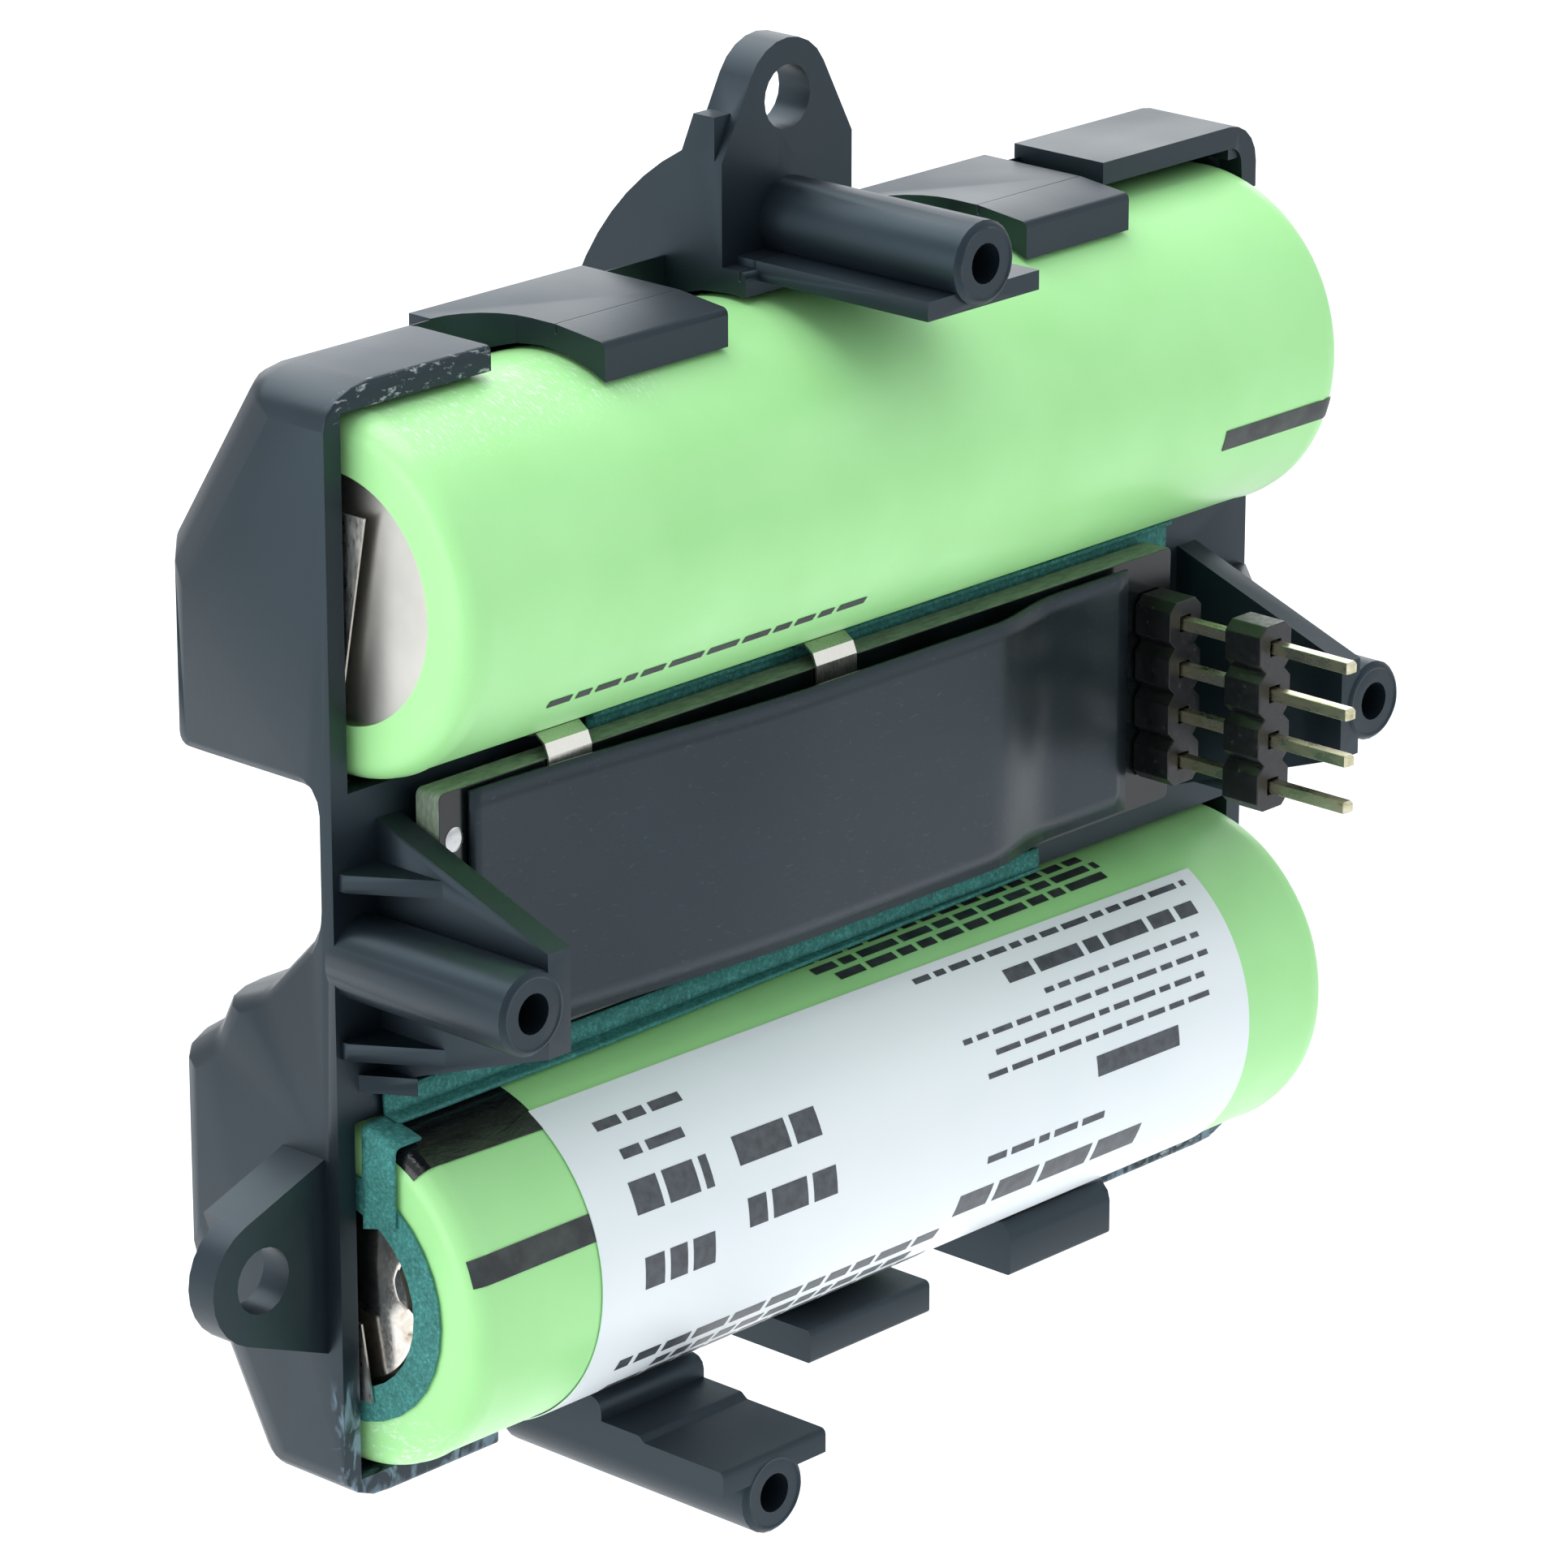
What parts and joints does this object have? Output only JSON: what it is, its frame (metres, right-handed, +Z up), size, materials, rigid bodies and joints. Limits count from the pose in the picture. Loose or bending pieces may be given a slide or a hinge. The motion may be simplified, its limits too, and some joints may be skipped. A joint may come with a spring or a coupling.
{
  "type": "battery pack",
  "caption": "Two-cell lithium-ion battery pack: cylindrical cells in a black moulded cradle with screw bosses and lugs, a protection board and a pin header.",
  "frame": {"origin": "in the plane of the screw bosses' ends, halfway along the cells and midway between the two cells' axes", "axes": "+X along the cells, -Y out of the open front, towards the appliance it is screwed to, +Z up, towards the lug"},
  "size_m": [0.0757, 0.0282, 0.0716],
  "materials": {
    "black_abs": "moulded black ABS, fine satin texture",
    "sleeve": "light green shrink sleeve, satin gloss",
    "cell_steel": "nickel-plated drawn steel",
    "nickel": "nickel strip, rolled",
    "winding": "wound electrode foil",
    "gasket": "moulded polymer seal",
    "barley_paper": "green electrical insulating paper",
    "label_film": "white plastic film, blank",
    "tape": "black adhesive tape",
    "board": "glass-epoxy board with solder mask",
    "chip_epoxy": "moulded epoxy package",
    "tinned": "tinned metal",
    "card": "satin insulating card",
    "header_plastic": "moulded black plastic",
    "pin_metal": "plated square pin"
  },
  "bodies": {
    "root": {"cradle": "black_abs", "label": "label_film", "black_tape": "tape", "circuit_board": "board", "protection_ic": "chip_epoxy", "charge_mosfet": "chip_epoxy", "discharge_mosfet": "chip_epoxy", "sense_resistor": "tinned", "thermistor": "chip_epoxy", "balance_resistor": "chip_epoxy", "insulator_card": "card", "header_inner_insulator": "header_plastic", "header_outer_insulator": "header_plastic", "negative_tab": "nickel", "positive_tab": "nickel", "series_tab_upper": "nickel", "series_tab_lower": "nickel", "negative_lead": "nickel", "mid_tap_lead": "nickel", "upper_paper": "barley_paper", "lower_paper": "barley_paper", "header_pin_1": "pin_metal", "header_pin_2": "pin_metal", "header_pin_3": "pin_metal", "header_pin_4": "pin_metal", "upper_cell_sleeve": "sleeve", "upper_cell_can": "cell_steel", "upper_cell_winding": "winding", "upper_cell_gasket": "gasket", "upper_cell_cap": "nickel", "upper_cell_washer": "barley_paper", "lower_cell_sleeve": "sleeve", "lower_cell_can": "cell_steel", "lower_cell_winding": "winding", "lower_cell_gasket": "gasket", "lower_cell_cap": "nickel", "lower_cell_washer": "barley_paper"}
  },
  "joints": []
}
